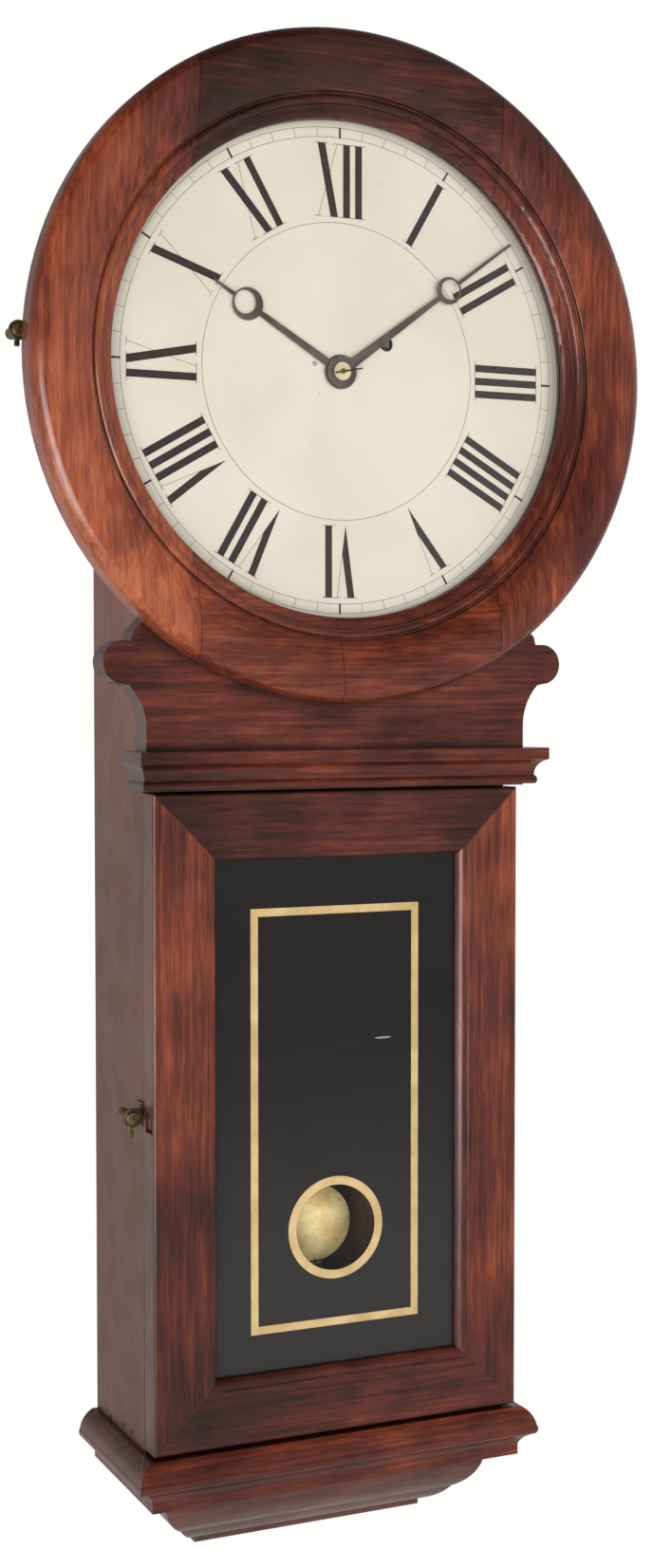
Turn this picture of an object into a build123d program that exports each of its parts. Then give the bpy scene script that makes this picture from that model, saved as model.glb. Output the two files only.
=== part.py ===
from build123d import *
import math
import os

# Pendulum wall clock, millimetres, +Z up.  The origin lies on the dial's axis in the wall
# plane: y = 0 is the back of the case and the front looks along -Y.

# ---- driving dimensions ----
DIAL_FACE = -104.0       # y of the printed face
DIAL_THICK = 1.2
DIAL_R = 165.5
WINDING_HOLE_R = 4.5

CASE_HALF = 120.75       # half width of the trunk
CASE_DEPTH = 89.0
CASE_TOP = 140.0
CASE_FOOT = -674.5
BOARD = 12.0             # thickness of the case boards
SEAT_BLOCK_X = ((-42.0, -28.0), (54.0, 68.0))
STEADY_SCREW_R = 2.25
HANGER_HALF = 22.0
HANGER_FOOT, HANGER_TOP, HANGER_THICK = 96.0, 128.0, 2.0
KEYHOLE_R, KEYHOLE_Z = 5.0, 104.0
KEYSLOT_R, KEYSLOT_Z = 2.5, 118.0
HANGER_SCREW_Z = 112.0

HEAD_R = 190.0           # fixed round frame
HEAD_BORE = 130.0
HEAD_RIM_R = 166.0
HEAD_FRONT = -107.5

BEZEL_R = 197.8          # hinged round frame
BEZEL_BACK = -108.0
SIGHT_R = 147.2
REBATE_R = 151.0
GLASS_THICK = 2.0
BEZEL_GLASS_BACK = -111.0

DOOR_TOP = -250.75
DOOR_FOOT = -641.9
DOOR_BACK = -90.0
DOOR_FRONT = -107.0
DOOR_FLAT = 34.0         # flat width of a stile before its moulding
DOOR_SIGHT = 40.5        # full width of a stile
DOOR_REBATE = 36.0
TABLET_FRONT = -100.3
PAINT_THICK = 0.3

GOLD_HALF = 56.05
GOLD_TOP = -321.2
GOLD_FOOT = -579.05
GOLD_LINE = 4.8
WINDOW_Z = -518.7
WINDOW_R = 26.3
WINDOW_RING_R = 31.5

BRACKET_HALF = 124.8
BRACKET_FOOT = -249.5
EAR = (138.5, -174.3)    # centre of a scrolled ear
EAR_R = 12.3
CORNICE_HALF = 134.0
CORNICE_FRONT = -124.0
BASE_HALF = 133.0
BASE_FRONT = -115.5
DROP_HALF, DROP_FOOT_HALF = 108.0, 78.0
DROP_FRONT, DROP_FOOT_FRONT = -90.0, -58.0
DROP_FOOT = -713.0
DROP_PLATE_THICK = 4.0

HINGE_R = 2.5
PIN_R = 1.2
RUN = 0.05               # radial running clearance
BEZEL_HINGE = (198.6, -107.75)
DOOR_HINGE = (123.6, -89.5)
LEAF = 1.2
BEZEL_LEAF_X = 172.0     # inner edge of the bezel hinge's leaves
DOOR_LEAF_X = 109.2
BEZEL_HINGE_LONG = 56.0
DOOR_HINGE_LONG = 50.0
DOOR_HINGE_Z = (-310.0, -582.0)
OUTER_KNUCKLES = ((0.0, 0.33), (0.67, 1.0))     # shares of a hinge's length
MIDDLE_KNUCKLE = ((0.33, 0.67),)

CATCH_OFFSET = 8.25      # spindle axis from the catch bracket's foot
CATCH_FOOT = 1.5
BEZEL_CATCH_FLAT = -188.6
BEZEL_CATCH_Z = 11.5
BEZEL_CATCH_FRONT = -97.0
DOOR_CATCH_Z = -440.8
DOOR_CATCH_FRONT = -88.0
MORTISE_BACK, MORTISE_FRONT, MORTISE_DEEP = -91.5, -104.5, 3.0
CATCH_LONG = 8.0
SPINDLE_R = 1.5
KEEPER_LEFT, KEEPER_RIGHT = -197.0, -189.4
KEEPER_FOOT, KEEPER_TOP = 2.5, 17.0
KEEPER_THICK = 1.2

PLATE_THICK = 2.0
FRONT_PLATE = -95.0      # inner face of the front plate
BACK_PLATE = -75.0       # inner face of the back plate
PLATE_LEFT, PLATE_RIGHT = -42.0, 68.0
PLATE_FOOT, PLATE_TOP = -34.0, 58.0
PILLARS = [(-36.0, -28.0), (62.0, -28.0), (-36.0, 52.0), (62.0, 52.0)]
PILLAR_R, PILLAR_END_R = 3.0, 2.0
PIVOT_R, PIVOT_LONG = 0.7, 1.6
ARBOR_R = 1.2
WINDING_R = 2.5
CENTRE_R = 1.5
CANNON_R = 2.6
HOUR_PIPE_R = 3.7
CLICK_STUD_R = 1.4
MINUTE_STUD_R = 0.8

BARREL_TEETH, CENTRE_LEAVES, BARREL_MODULE = 96, 12, 0.67
CENTRE_TEETH, THIRD_LEAVES = 80, 8
THIRD_TEETH, ESCAPE_LEAVES = 64, 8
TRAIN_MODULE = 0.5
ESCAPE_TEETH, ESCAPE_R = 30, 15.0
CANNON_LEAVES, MINUTE_TEETH, CANNON_MODULE = 12, 36, 0.5
MINUTE_LEAVES, HOUR_TEETH, HOUR_MODULE = 10, 40, 0.48
WINDING_ANGLE = 31.1
WINDING_SQUARE = 4.0
RATCHET_BACK = -97.6     # y of the ratchet wheel's back
RATCHET_THICK = 1.4
ESCAPE_XZ = (-5.0, 23.5)
VERGE_XZ = (0.0, 44.0)
MINUTE_XZ = (0.0, -12.0)
RATCHET_TEETH, RATCHET_R, RATCHET_ROOT = 24, 10.0, 8.4
CLICK_XZ = (46.0, 31.0)

CANNON_FRONT = -107.7    # y of the cannon pinion's front end
HOUR_WHEEL_BACK = -100.3
MINUTE_HAND_ANGLE = 53.5
HOUR_HAND_ANGLE = -59.0
PENDULUM_Y = -66.0
BOB_Z = -523.0
BOB_R = 24.0
BOB_HALF = 6.0
ROD_R, ROD_FOOT = 1.5, -560.0
NUT_FOOT = -552.6
SPRING_HALF, SPRING_FOOT = 0.15, 24.0

# ---- derived places ----
def meeting_point(first, first_reach, second, second_reach):
    """Point left of the line first-second at the given reaches from both."""
    apart = math.dist(first, second)
    along = (first_reach**2 - second_reach**2 + apart**2) / (2 * apart)
    aside = math.sqrt(first_reach**2 - along**2)
    ux, uz = (second[0] - first[0]) / apart, (second[1] - first[1]) / apart
    return (first[0] + along * ux - aside * uz, first[1] + along * uz + aside * ux)


BARREL_REACH = (BARREL_TEETH + CENTRE_LEAVES) / 2 * BARREL_MODULE
BARREL_XZ = (
    BARREL_REACH * math.cos(math.radians(WINDING_ANGLE)),
    BARREL_REACH * math.sin(math.radians(WINDING_ANGLE)),
)
THIRD_XZ = meeting_point(
    (0.0, 0.0), (CENTRE_TEETH + THIRD_LEAVES) / 2 * TRAIN_MODULE,
    ESCAPE_XZ, (THIRD_TEETH + ESCAPE_LEAVES) / 2 * TRAIN_MODULE,
)
BEZEL_CATCH_X = BEZEL_CATCH_FLAT - CATCH_FOOT - CATCH_OFFSET
DOOR_CATCH_X = -CASE_HALF - CATCH_FOOT - CATCH_OFFSET
TABLET_BACK = TABLET_FRONT + GLASS_THICK
HEAD_SCREWS = [(x, z) for x in (-114.75, 114.75) for z in (-88.0, 88.0)]
SEAT_SCREWS = [(x, z) for x in (-35.0, 61.0) for z in (-8.0, 36.0)]
SEAT_SCREW_END = -55.0
DIAL_SCREW_R = 160.0
DIAL_SEAT = DIAL_FACE + DIAL_THICK
WOOD_R, WOOD_HEAD_R = 1.5, 3.0          # small wood screws
HEAD_SCREW_R, HEAD_SCREW_HEAD_R = 2.0, 4.0
HEAD_SCREW_SUNK = 2.6
HEAD_SCREW_LONG = 20.0
DIAL_SHANK_R, DIAL_HEAD_R = 1.1, 2.2
STEADY_SCREWS = [(-80.0, -600.0), (80.0, -600.0)]
HANGER_SCREWS = [(-17.0, HANGER_SCREW_Z), (17.0, HANGER_SCREW_Z)]
SCREW_CORNERS = [math.radians(45 + 90 * corner) for corner in range(4)]
DIAL_SCREWS = [(DIAL_SCREW_R * math.cos(a), DIAL_SCREW_R * math.sin(a)) for a in SCREW_CORNERS]
DIAL_SCREW_END = -96.0


# ---- helpers that add to the open part ----
def facing(y):
    """Upright plane at depth y, seen from the front: local x is X and local y is Z."""
    return Plane(origin=(0, y, 0), x_dir=(1, 0, 0), z_dir=(0, -1, 0))


def block(x0, x1, y0, y1, z0, z1, mode=Mode.ADD):
    """Box between the given limits."""
    with BuildSketch(Plane.XY.offset(z0)) as outline:
        with Locations(((x0 + x1) / 2, (y0 + y1) / 2)):
            Rectangle(abs(x1 - x0), abs(y1 - y0))
    extrude(outline.sketch, amount=z1 - z0, mode=mode)


def rod(place, y_back, y_front, radius, mode=Mode.ADD):
    """Round bar along Y at place = (x, z)."""
    with BuildSketch(facing(y_back)) as outline:
        with Locations(place):
            Circle(radius)
    extrude(outline.sketch, amount=y_back - y_front, mode=mode)


def post(place, z0, z1, radius, mode=Mode.ADD):
    """Round bar along Z at place = (x, y)."""
    with BuildSketch(Plane.XY.offset(z0)) as outline:
        with Locations(place):
            Circle(radius)
    extrude(outline.sketch, amount=z1 - z0, mode=mode)


def save(part, name):
    """Labels a finished piece and writes it."""
    part.label = name
    export_step(part, f"parts/{name}.step")


def tooth_outline(teeth, module, phase, addendum=0.85, dedendum=1.15, share=0.36):
    """Corner points of a wheel with teeth; phase is the angle of one tooth's middle."""
    pitch_r = teeth * module / 2
    step = 360 / teeth
    half_root, half_pitch, half_tip = share * 0.56 * step, share * 0.5 * step, share * 0.22 * step
    corners = []
    for index in range(teeth):
        middle = phase + index * step
        for radius, offset in (
            (pitch_r - dedendum * module, -half_root),
            (pitch_r, -half_pitch),
            (pitch_r + addendum * module, -half_tip),
            (pitch_r + addendum * module, half_tip),
            (pitch_r, half_pitch),
            (pitch_r - dedendum * module, half_root),
        ):
            angle = math.radians(middle + offset)
            corners.append((radius * math.cos(angle), radius * math.sin(angle)))
    return corners


def saw_outline(teeth, tip_r, root_r, phase, lean):
    """Corner points of a saw-toothed wheel."""
    step = 360 / teeth
    corners = []
    for index in range(teeth):
        for radius, offset in ((tip_r, 0.0), (tip_r, 0.12 * step), (root_r, lean * step)):
            angle = math.radians(phase + index * step + offset)
            corners.append((radius * math.cos(angle), radius * math.sin(angle)))
    return corners


def toothed_disc(corners, place, y_back, thick, rim_r=0.0, hub_r=0.0, arm=0.0):
    """Wheel at place, crossed out to four arms when rim_r is given."""
    with BuildSketch(facing(y_back)) as outline:
        with BuildLine():
            Polyline([(x + place[0], z + place[1]) for x, z in corners], close=True)
        make_face()
        with Locations(place):
            if rim_r:
                Circle(rim_r, mode=Mode.SUBTRACT)
                Circle(hub_r)
                Rectangle(2 * rim_r + 0.4, arm)
                Rectangle(arm, 2 * rim_r + 0.4)
    extrude(outline.sketch, amount=thick)


def line_angle(start, end):
    """Direction of the line between two arbors, degrees."""
    return math.degrees(math.atan2(end[1] - start[1], end[0] - start[0]))


# ---- case ----
def make_backboard():
    with BuildPart() as backboard:
        inner = CASE_HALF - BOARD
        block(-inner, inner, 0, -BOARD, CASE_FOOT, CASE_TOP)
        block(-HANGER_HALF, HANGER_HALF, 0, -HANGER_THICK, HANGER_FOOT, HANGER_TOP,
              mode=Mode.SUBTRACT)
        block(-8, 8, -HANGER_THICK, -10, HANGER_FOOT + 2, HANGER_TOP - 2, mode=Mode.SUBTRACT)
        for place in STEADY_SCREWS:
            rod(place, 0, -BOARD, STEADY_SCREW_R, mode=Mode.SUBTRACT)
        for place in HANGER_SCREWS:
            rod(place, 0, -10, WOOD_R, mode=Mode.SUBTRACT)
    save(backboard.part, "backboard")


def make_sides():
    for side, name in ((-1, "side_left"), (1, "side_right")):
        with BuildPart() as board:
            inner, outer = side * (CASE_HALF - BOARD), side * CASE_HALF
            block(inner, outer, 0, -CASE_DEPTH, CASE_FOOT, CASE_TOP)
            for place in HEAD_SCREWS:
                if place[0] * side > 0:
                    rod(place, -CASE_DEPTH + HEAD_SCREW_LONG, -CASE_DEPTH, HEAD_SCREW_R,
                        mode=Mode.SUBTRACT)
            if side > 0:
                for z in DOOR_HINGE_Z:
                    low, high = z - DOOR_HINGE_LONG / 2, z + DOOR_HINGE_LONG / 2
                    block(DOOR_LEAF_X, CASE_HALF, -CASE_DEPTH + LEAF, -CASE_DEPTH, low, high,
                          mode=Mode.SUBTRACT)
        save(board.part, name)


def make_end_boards():
    inner = CASE_HALF - BOARD
    with BuildPart() as top_board:
        block(-inner, inner, -BOARD, -CASE_DEPTH, CASE_TOP - BOARD, CASE_TOP)
    save(top_board.part, "top_board")
    with BuildPart() as bottom_board:
        block(-inner, inner, -BOARD, -CASE_DEPTH, CASE_FOOT, CASE_FOOT + BOARD)
    save(bottom_board.part, "bottom_board")


def make_head_ring():
    with BuildPart() as head_ring:
        with BuildSketch(Plane.XY):
            with BuildLine():
                Polyline(
                    (HEAD_BORE, -CASE_DEPTH), (HEAD_R, -CASE_DEPTH), (HEAD_R, HEAD_FRONT),
                    (HEAD_RIM_R, HEAD_FRONT), (HEAD_RIM_R, DIAL_SEAT), (HEAD_BORE, DIAL_SEAT),
                    close=True,
                )
            make_face()
        revolve(axis=Axis.Y)
        block(-HEAD_R - 5, BEZEL_CATCH_FLAT, -CASE_DEPTH, HEAD_FRONT, -6, 26, mode=Mode.SUBTRACT)
        half = BEZEL_HINGE_LONG / 2
        block(BEZEL_LEAF_X, BEZEL_R, HEAD_FRONT, HEAD_FRONT + LEAF, -half, half,
              mode=Mode.SUBTRACT)
        for place in HEAD_SCREWS:
            rod(place, -CASE_DEPTH, DIAL_SEAT, HEAD_SCREW_R, mode=Mode.SUBTRACT)
            rod(place, DIAL_SEAT + HEAD_SCREW_SUNK, DIAL_SEAT, HEAD_SCREW_HEAD_R,
                mode=Mode.SUBTRACT)
        for place in DIAL_SCREWS:
            rod(place, DIAL_SCREW_END, DIAL_SEAT, DIAL_SHANK_R, mode=Mode.SUBTRACT)
    save(head_ring.part, "head_ring")


def bracket_half():
    """Right half of the scroll bracket's outline, in the open sketch's line."""
    top_r = HEAD_R + 0.4
    start = (122.0, -math.sqrt(top_r**2 - 122.0**2))
    middle = (70.0, -math.sqrt(top_r**2 - 70.0**2))
    ear_top, ear_low = (EAR[0], EAR[1] + EAR_R), (EAR[0], EAR[1] - EAR_R)
    ThreePointArc((0, -top_r), middle, start)
    Polyline(start, (132.5, -157.3), (133.6, ear_top[1]), ear_top)
    ThreePointArc(ear_top, (EAR[0] + EAR_R, EAR[1]), ear_low)
    Line(ear_low, (135.0, -187.4))
    ThreePointArc((135.0, -187.4), (127.6, -198.5), (BRACKET_HALF, -212.5))
    Polyline((BRACKET_HALF, -212.5), (BRACKET_HALF, BRACKET_FOOT), (0, BRACKET_FOOT),
             (0, -top_r))


def make_scroll_bracket():
    with BuildPart() as scroll_bracket:
        with BuildSketch(facing(-CASE_DEPTH)):
            with BuildLine():
                bracket_half()
            make_face()
            mirror(about=Plane.YZ)
        extrude(amount=DOOR_BACK - DOOR_FRONT + 1)
    save(scroll_bracket.part, "scroll_bracket")


def moulding_line(edge, sections, outward):
    """Closed outline of a moulding: sections holds (projection, z) points and arcs."""
    previous = None
    for kind, *points in sections:
        placed = [(edge + outward * projection, z) for projection, z in points]
        if kind == "line":
            if previous is not None:
                Line(previous, placed[0])
        else:
            ThreePointArc(previous, placed[0], placed[1])
        previous = placed[-1]


def cornice_sections(scale):
    """Cornice moulding; scale shrinks its projection for the returns."""
    return [
        ("line", (-60, -226)), ("line", (17 * scale, -226)), ("line", (17 * scale, -233)),
        ("line", (15.6 * scale, -233.6)),
        ("arc", (9.4 * scale, -237.2), (7.4 * scale, -243.2)),
        ("line", (8.2 * scale, -243.6)),
        ("arc", (9.4 * scale, -246), (8.2 * scale, -248.4)),
        ("line", (-60, -248.4)), ("line", (-60, -226)),
    ]


def make_cornice():
    side_scale = (CORNICE_HALF - BRACKET_HALF) / 17
    with BuildPart() as cornice:
        with BuildSketch(Plane.YZ):
            with BuildLine():
                moulding_line(DOOR_FRONT, cornice_sections(1.0), -1)
            make_face()
        extrude(amount=150, both=True)
        with BuildSketch(facing(-CASE_DEPTH)):
            with BuildLine():
                moulding_line(BRACKET_HALF, cornice_sections(side_scale), 1)
            make_face()
            mirror(about=Plane.YZ)
            Rectangle(200, 600)
        extrude(amount=60, mode=Mode.INTERSECT)
        block(-BRACKET_HALF, BRACKET_HALF, -CASE_DEPTH + 1, DOOR_FRONT, -260, -220,
              mode=Mode.SUBTRACT)
        for side in (-1, 1):
            run = (side * (CORNICE_HALF - BRACKET_HALF), CORNICE_FRONT - DOOR_FRONT)
            mitre = Plane(origin=(side * BRACKET_HALF, DOOR_FRONT, 0), x_dir=(run[0], run[1], 0),
                          z_dir=(-run[1], run[0], 0))
            split(bisect_by=mitre, keep=Keep.BOTH)
    save(cornice.part, "cornice")


def base_sections(edge_step, nose):
    """Base moulding; edge_step is the fascia's projection and nose the greatest one."""
    return [
        ("line", (-60, -643.5)), ("line", (edge_step + 1.4, -643.5)),
        ("arc", (nose - 3.4, -648.2), (nose - 0.6, -655.2)),
        ("arc", (nose, -658.2), (nose - 1.6, -660.8)),
        ("arc", (edge_step + 2.6, -663.6), (edge_step, -667.5)),
        ("line", (edge_step, CASE_FOOT)), ("line", (-60, CASE_FOOT)), ("line", (-60, -643.5)),
    ]


def make_base_moulding():
    with BuildPart() as base_moulding:
        with BuildSketch(Plane.YZ):
            with BuildLine():
                moulding_line(DOOR_FRONT, base_sections(0.6, DOOR_FRONT - BASE_FRONT), -1)
            make_face()
            with Locations((-50, -659)):
                Rectangle(100, 31)
        extrude(amount=150, both=True)
        with BuildSketch(facing(0)):
            with BuildLine():
                moulding_line(CASE_HALF, base_sections(1.8, BASE_HALF - CASE_HALF), 1)
            make_face()
            mirror(about=Plane.YZ)
            Rectangle(200, 1400)
        extrude(amount=130, mode=Mode.INTERSECT)
        block(-CASE_HALF, CASE_HALF, 1, -CASE_DEPTH, -700, -640, mode=Mode.SUBTRACT)
        for side in (-1, 1):
            run = (side * (BASE_HALF - CASE_HALF), BASE_FRONT + CASE_DEPTH)
            mitre = Plane(origin=(side * CASE_HALF, -CASE_DEPTH, 0), x_dir=(run[0], run[1], 0),
                          z_dir=(-run[1], run[0], 0))
            split(bisect_by=mitre, keep=Keep.BOTH)
    save(base_moulding.part, "base_moulding")


def drop_line(edge, foot, direction):
    """Outline of the ogee drop's one side: edge above, foot below, closed far inside."""
    start = (edge, CASE_FOOT - 4.5)
    waist = (edge + direction * -15.5, -701.5)
    end = (foot, DROP_FOOT)
    far = edge - direction * 400
    Line((edge, CASE_FOOT), start)
    ThreePointArc(start, (edge - direction * 5.2, -692.0), waist)
    hollow = ((waist[0] + end[0]) / 2 - direction * 1.0, (waist[1] + end[1]) / 2 - 2.6)
    ThreePointArc(waist, hollow, end)
    Polyline(end, (far, DROP_FOOT), (far, CASE_FOOT), (edge, CASE_FOOT))


def make_drop():
    with BuildPart() as drop_block:
        with BuildSketch(Plane.YZ):
            with BuildLine():
                drop_line(DROP_FRONT, DROP_FOOT_FRONT, -1)
            make_face()
        extrude(amount=120, both=True)
        for side in (-1, 1):
            with BuildSketch(facing(0)):
                with BuildLine():
                    drop_line(side * DROP_HALF, side * DROP_FOOT_HALF, side)
                make_face()
            extrude(amount=120, mode=Mode.INTERSECT)
        block(-300, 300, 0, 500, -800, -600, mode=Mode.SUBTRACT)
    save(drop_block.part, "drop_block")
    with BuildPart() as drop_plate:
        block(1 - DROP_FOOT_HALF, DROP_FOOT_HALF - 1, 0, DROP_FOOT_FRONT + 0.5,
              DROP_FOOT - DROP_PLATE_THICK, DROP_FOOT)
        fillet(drop_plate.edges().group_by(Axis.Z)[0].sort_by(Axis.Y)[:1], 1.2)
    save(drop_plate.part, "drop_plate")


def make_movement_seat():
    with BuildPart() as seat_blocks:
        for left, right in SEAT_BLOCK_X:
            block(left, right, -BOARD, BACK_PLATE + PLATE_THICK, PLATE_FOOT, PLATE_TOP)
        for place in SEAT_SCREWS:
            rod(place, SEAT_SCREW_END, BACK_PLATE + PLATE_THICK, WOOD_R, mode=Mode.SUBTRACT)
    save(seat_blocks.part, "seat_blocks")


def make_hanger():
    with BuildPart() as hanger_plate:
        block(-HANGER_HALF, HANGER_HALF, 0, -HANGER_THICK, HANGER_FOOT, HANGER_TOP)
        rod((0, KEYHOLE_Z), 0, -HANGER_THICK, KEYHOLE_R, mode=Mode.SUBTRACT)
        rod((0, KEYSLOT_Z), 0, -HANGER_THICK, KEYSLOT_R, mode=Mode.SUBTRACT)
        block(-KEYSLOT_R, KEYSLOT_R, 0, -HANGER_THICK, KEYHOLE_Z, KEYSLOT_Z, mode=Mode.SUBTRACT)
        for place in HANGER_SCREWS:
            rod(place, 0, -HANGER_THICK, WOOD_R, mode=Mode.SUBTRACT)
            rod(place, 0, -1, WOOD_HEAD_R, mode=Mode.SUBTRACT)
    save(hanger_plate.part, "hanger_plate")


def make_dial():
    with BuildPart() as dial:
        rod((0, 0), DIAL_SEAT, DIAL_FACE, DIAL_R)
        rod((0, 0), DIAL_SEAT, DIAL_FACE, HOUR_PIPE_R + 0.5, mode=Mode.SUBTRACT)
        rod(BARREL_XZ, DIAL_SEAT, DIAL_FACE, WINDING_HOLE_R, mode=Mode.SUBTRACT)
        for place in DIAL_SCREWS:
            rod(place, DIAL_SEAT, DIAL_FACE, DIAL_SHANK_R, mode=Mode.SUBTRACT)
    save(dial.part, "dial")
    with BuildPart() as dial_screws:
        for place in DIAL_SCREWS:
            rod(place, DIAL_SCREW_END, DIAL_FACE, DIAL_SHANK_R)
            rod(place, DIAL_FACE, DIAL_FACE - 1.0, DIAL_HEAD_R)
    save(dial_screws.part, "dial_screws")


def make_wood_screws():
    """Wood screws of the hanger plate, the head ring and the movement's back plate."""
    with BuildPart() as wood_screws:
        for place in HANGER_SCREWS:
            rod(place, 0, -10, WOOD_R)
            rod(place, 0, -1, WOOD_HEAD_R)
        for place in HEAD_SCREWS:
            rod(place, -CASE_DEPTH + HEAD_SCREW_LONG, DIAL_SEAT + HEAD_SCREW_SUNK, HEAD_SCREW_R)
            rod(place, DIAL_SEAT + HEAD_SCREW_SUNK, DIAL_SEAT + 0.1, HEAD_SCREW_HEAD_R)
        for place in SEAT_SCREWS:
            rod(place, SEAT_SCREW_END, BACK_PLATE, WOOD_R)
            rod(place, BACK_PLATE, BACK_PLATE - 1.5, WOOD_HEAD_R)
    save(wood_screws.part, "wood_screws")


# ---- door ----
def door_section(edge, inward, depth):
    """Section of a door member; edge is its outer limit and depth the sign given to Y."""
    def at(width, y):
        return (edge + inward * width, depth * y)
    arris = 1.6
    step, hollow, inner = DOOR_FRONT + 0.9, DOOR_FRONT + 1.9, DOOR_FRONT + 4.9
    Polyline(at(0, DOOR_BACK), at(0, DOOR_FRONT + arris))
    ThreePointArc(at(0, DOOR_FRONT + arris), at(0.5, DOOR_FRONT + 0.5), at(arris, DOOR_FRONT))
    Polyline(at(arris, DOOR_FRONT), at(DOOR_FLAT, DOOR_FRONT), at(DOOR_FLAT, step))
    ThreePointArc(at(DOOR_FLAT, step), at(DOOR_FLAT + 4.4, hollow), at(DOOR_SIGHT, inner))
    Polyline(at(DOOR_SIGHT, inner), at(DOOR_SIGHT, TABLET_FRONT), at(DOOR_REBATE, TABLET_FRONT),
             at(DOOR_REBATE, DOOR_BACK), at(0, DOOR_BACK))


def mitre_plane(x, z, toward):
    """Mitre through the door corner (x, z); its positive side looks along toward."""
    return Plane(origin=(x, 0, z), x_dir=(0, 1, 0), z_dir=(toward[0], 0, toward[1]))


def make_door_stiles():
    for side, name in ((-1, "door_stile_left"), (1, "door_stile_right")):
        with BuildPart() as stile:
            with BuildSketch(Plane.XY.offset(DOOR_FOOT)):
                with BuildLine():
                    door_section(side * CASE_HALF, -side, 1)
                make_face()
            extrude(amount=DOOR_TOP - DOOR_FOOT)
            split(bisect_by=mitre_plane(side * CASE_HALF, DOOR_TOP, (side, -1)), keep=Keep.TOP)
            split(bisect_by=mitre_plane(side * CASE_HALF, DOOR_FOOT, (side, 1)), keep=Keep.TOP)
            if side < 0:
                block(-CASE_HALF - 1, -CASE_HALF + MORTISE_DEEP, MORTISE_BACK, MORTISE_FRONT,
                      DOOR_CATCH_Z - 9.8, DOOR_CATCH_Z + 2.4, mode=Mode.SUBTRACT)
            else:
                for z in DOOR_HINGE_Z:
                    low, high = z - DOOR_HINGE_LONG / 2, z + DOOR_HINGE_LONG / 2
                    block(DOOR_LEAF_X, CASE_HALF, DOOR_BACK, DOOR_BACK - LEAF, low, high,
                          mode=Mode.SUBTRACT)
        save(stile.part, name)


def make_door_rails():
    for level, inward, name in ((DOOR_TOP, -1, "door_rail_top"), (DOOR_FOOT, 1, "door_rail_bottom")):
        with BuildPart() as rail:
            section_plane = Plane(origin=(-CASE_HALF, 0, 0), x_dir=(0, 0, 1), z_dir=(1, 0, 0))
            with BuildSketch(section_plane):
                with BuildLine():
                    door_section(level, inward, -1)
                make_face()
            extrude(amount=2 * CASE_HALF)
            for side in (-1, 1):
                split(bisect_by=mitre_plane(side * CASE_HALF, level, (-side, -inward)),
                      keep=Keep.TOP)
        save(rail.part, name)


def make_tablet():
    half = CASE_HALF - DOOR_REBATE - 0.3
    low, high = DOOR_FOOT + DOOR_REBATE + 0.3, DOOR_TOP - DOOR_REBATE - 0.3
    middle, tall = (low + high) / 2, high - low
    gold_middle, gold_tall = (GOLD_TOP + GOLD_FOOT) / 2, GOLD_TOP - GOLD_FOOT
    with BuildPart() as tablet_glass:
        block(-half, half, TABLET_BACK, TABLET_FRONT, low, high)
    save(tablet_glass.part, "tablet_glass")
    with BuildPart() as tablet_paint:
        with BuildSketch(facing(TABLET_BACK + PAINT_THICK)):
            with Locations((0, middle)):
                Rectangle(2 * half, tall)
            with Locations((0, gold_middle)):
                Rectangle(2 * GOLD_HALF, gold_tall, mode=Mode.SUBTRACT)
                Rectangle(2 * (GOLD_HALF - GOLD_LINE), gold_tall - 2 * GOLD_LINE)
            with Locations((0, WINDOW_Z)):
                Circle(WINDOW_RING_R, mode=Mode.SUBTRACT)
        extrude(amount=PAINT_THICK)
    save(tablet_paint.part, "tablet_paint")
    with BuildPart() as gold_lines:
        with BuildSketch(facing(TABLET_BACK + PAINT_THICK)):
            with Locations((0, gold_middle)):
                Rectangle(2 * GOLD_HALF, gold_tall)
                Rectangle(2 * (GOLD_HALF - GOLD_LINE), gold_tall - 2 * GOLD_LINE,
                          mode=Mode.SUBTRACT)
            with Locations((0, WINDOW_Z)):
                Circle(WINDOW_RING_R)
                Circle(WINDOW_R, mode=Mode.SUBTRACT)
        extrude(amount=PAINT_THICK)
    save(gold_lines.part, "gold_lines")
    strip, strip_thick = 5.0, 4.5
    front = TABLET_BACK + PAINT_THICK
    back = front + strip_thick
    with BuildPart() as glass_strips:
        for side in (-1, 1):
            block(side * (half - strip), side * half, back, front, low, high)
        block(-half + strip + 0.2, half - strip - 0.2, back, front, high - strip, high)
        block(-half + strip + 0.2, half - strip - 0.2, back, front, low, low + strip)
    save(glass_strips.part, "glass_strips")


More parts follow.
